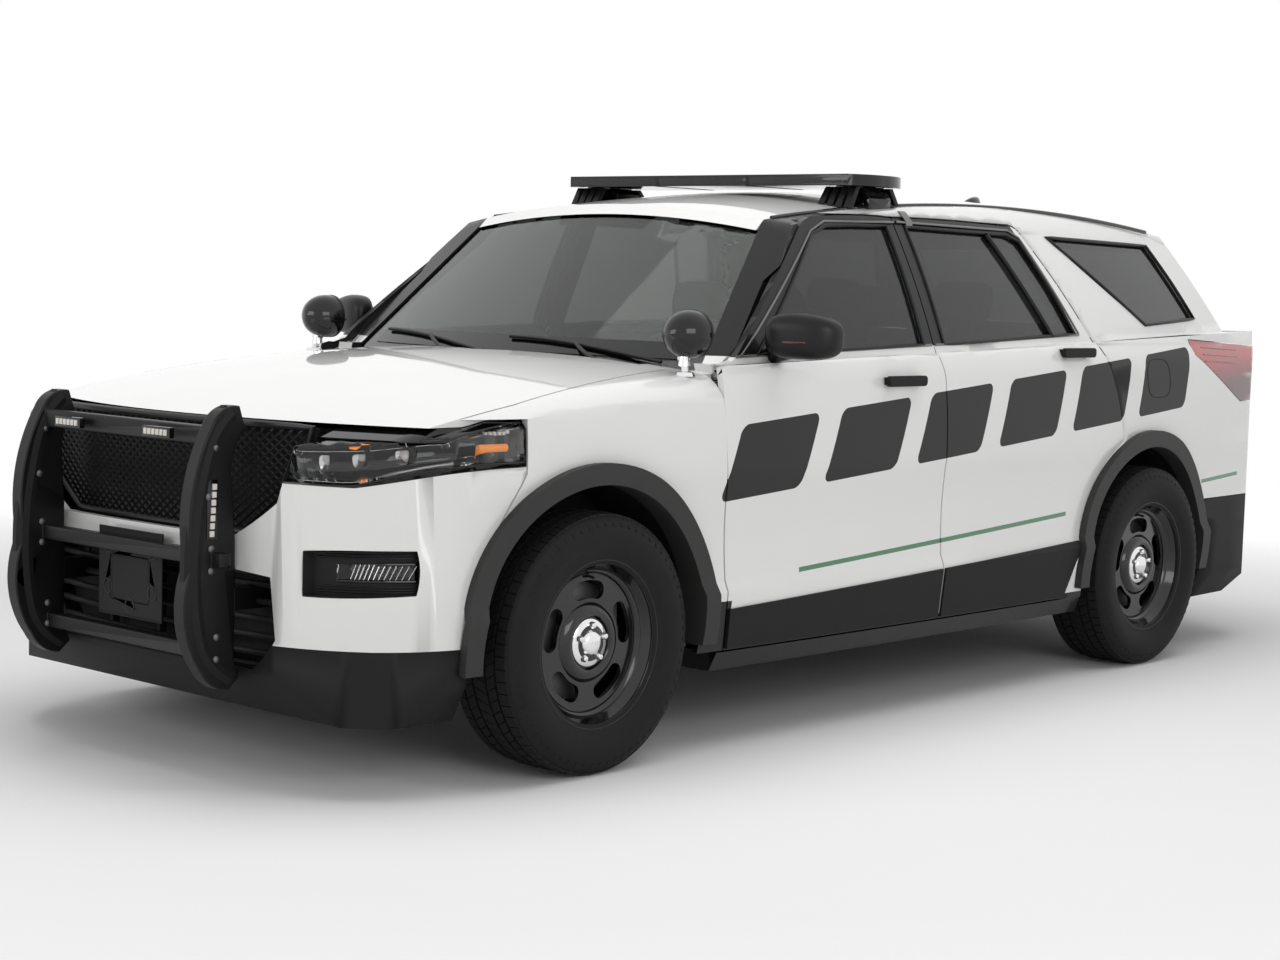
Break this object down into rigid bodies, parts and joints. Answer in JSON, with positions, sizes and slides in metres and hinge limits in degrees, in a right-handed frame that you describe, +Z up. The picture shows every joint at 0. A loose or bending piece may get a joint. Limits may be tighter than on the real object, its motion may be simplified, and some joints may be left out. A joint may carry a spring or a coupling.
{
  "type": "police suv",
  "caption": "Five-door police SUV with opening doors, hood and liftgate, steered front wheels, push bumper, roof light bar and spotlights.",
  "frame": {"origin": "on the ground, in the middle of the overall length and width", "axes": "+X to the driver's (left) side, forward is -Y, +Z up"},
  "size_m": [2.305, 5.2013, 1.7766],
  "materials": {
    "bare_steel": "satin",
    "black_steel": "semi-gloss",
    "cast": "rough",
    "cloth": "woven",
    "dark_trim": "matte",
    "gloss_black": "gloss",
    "lamp": "gloss",
    "red_lamp": "gloss",
    "tinted_glass": "polished",
    "tyre_rubber": "matte",
    "white_paint": "gloss"
  },
  "bodies": {
    "car": {"arch_mouldings": "dark_trim", "body_side_left": "white_paint", "body_side_right": "white_paint", "dashboard": "dark_trim", "engine_block": "cast", "exhaust": "bare_steel", "fixed_windows": "tinted_glass", "floor_pan": "white_paint", "fog_bezels": "dark_trim", "fog_lamps": "lamp", "front_bumper_cover": "white_paint", "front_fenders": "white_paint", "front_frame": "black_steel", "front_suspension": "black_steel", "front_valance": "dark_trim", "fuel_tank": "dark_trim", "grilles": "dark_trim", "headlamps": "lamp", "light_bar": "gloss_black", "plate_bracket": "dark_trim", "push_bumper": "black_steel", "rear_bumper_cover": "white_paint", "rear_suspension": "cast", "rear_valance": "dark_trim", "roof_panel": "white_paint", "seats": "cloth", "spotlights": "gloss_black", "steering_wheel": "dark_trim", "tail_lamps": "red_lamp"},
    "front_door_left": {"front_door_left": "white_paint", "front_door_glass_left": "tinted_glass", "front_door_trim_left": "dark_trim", "mirror_left": "gloss_black"},
    "front_wheel_left": {"front_tyre_left": "tyre_rubber", "front_rim_left": "black_steel"},
    "rear_door_left": {"rear_door_left": "white_paint", "rear_door_glass_left": "tinted_glass", "rear_door_trim_left": "dark_trim"},
    "rear_wheel_left": {"rear_tyre_left": "tyre_rubber", "rear_rim_left": "black_steel"},
    "knuckle_left": {"front_knuckle_left": "cast"},
    "front_door_right": {"front_door_right": "white_paint", "front_door_glass_right": "tinted_glass", "front_door_trim_right": "dark_trim", "mirror_right": "gloss_black"},
    "front_wheel_right": {"front_tyre_right": "tyre_rubber", "front_rim_right": "black_steel"},
    "rear_door_right": {"rear_door_right": "white_paint", "rear_door_glass_right": "tinted_glass", "rear_door_trim_right": "dark_trim"},
    "rear_wheel_right": {"rear_tyre_right": "tyre_rubber", "rear_rim_right": "black_steel"},
    "knuckle_right": {"front_knuckle_right": "cast"},
    "hood": {"hood": "white_paint"},
    "liftgate": {"liftgate": "white_paint", "liftgate_glass": "tinted_glass"}
  },
  "joints": [
    {"name": "front_door_hinge_left", "type": "hinge", "parent": "car", "child": "front_door_left", "pos_m": [0.955, -0.94335, 0.7], "axis": [0, 0, -1], "range_deg": [0, 68]},
    {"name": "rear_door_hinge_left", "type": "hinge", "parent": "car", "child": "rear_door_left", "pos_m": [0.961, 0.15665, 0.7], "axis": [0, 0, -1], "range_deg": [0, 68]},
    {"name": "front_door_hinge_right", "type": "hinge", "parent": "car", "child": "front_door_right", "pos_m": [-0.955, -0.94335, 0.7], "axis": [0, 0, 1], "range_deg": [0, 68]},
    {"name": "rear_door_hinge_right", "type": "hinge", "parent": "car", "child": "rear_door_right", "pos_m": [-0.961, 0.15665, 0.7], "axis": [0, 0, 1], "range_deg": [0, 68]},
    {"name": "hood_hinge", "type": "hinge", "parent": "car", "child": "hood", "pos_m": [0, -1.08235, 1.152], "axis": [-1, 0, 0], "range_deg": [0, 50]},
    {"name": "liftgate_hinge", "type": "hinge", "parent": "car", "child": "liftgate", "pos_m": [0, 1.89765, 1.697], "axis": [1, 0, 0], "range_deg": [0, 85]},
    {"name": "steer_left", "type": "hinge", "parent": "car", "child": "knuckle_left", "pos_m": [0.795, -1.55935, 0.376], "axis": [0, 0, 1], "range_deg": [-35, 35]},
    {"name": "front_wheel_spin_left", "type": "hinge", "parent": "knuckle_left", "child": "front_wheel_left", "pos_m": [0.8495, -1.55935, 0.376], "axis": [1, 0, 0], "continuous": true},
    {"name": "rear_wheel_spin_left", "type": "hinge", "parent": "car", "child": "rear_wheel_left", "pos_m": [0.8495, 1.46565, 0.376], "axis": [1, 0, 0], "continuous": true},
    {"name": "steer_right", "type": "hinge", "parent": "car", "child": "knuckle_right", "pos_m": [-0.795, -1.55935, 0.376], "axis": [0, 0, 1], "range_deg": [-35, 35]},
    {"name": "front_wheel_spin_right", "type": "hinge", "parent": "knuckle_right", "child": "front_wheel_right", "pos_m": [-0.8495, -1.55935, 0.376], "axis": [1, 0, 0], "continuous": true},
    {"name": "rear_wheel_spin_right", "type": "hinge", "parent": "car", "child": "rear_wheel_right", "pos_m": [-0.8495, 1.46565, 0.376], "axis": [1, 0, 0], "continuous": true}
  ],
  "couplings": [
    {"joint": "steer_right", "follows": "steer_left", "ratio": 1}
  ]
}
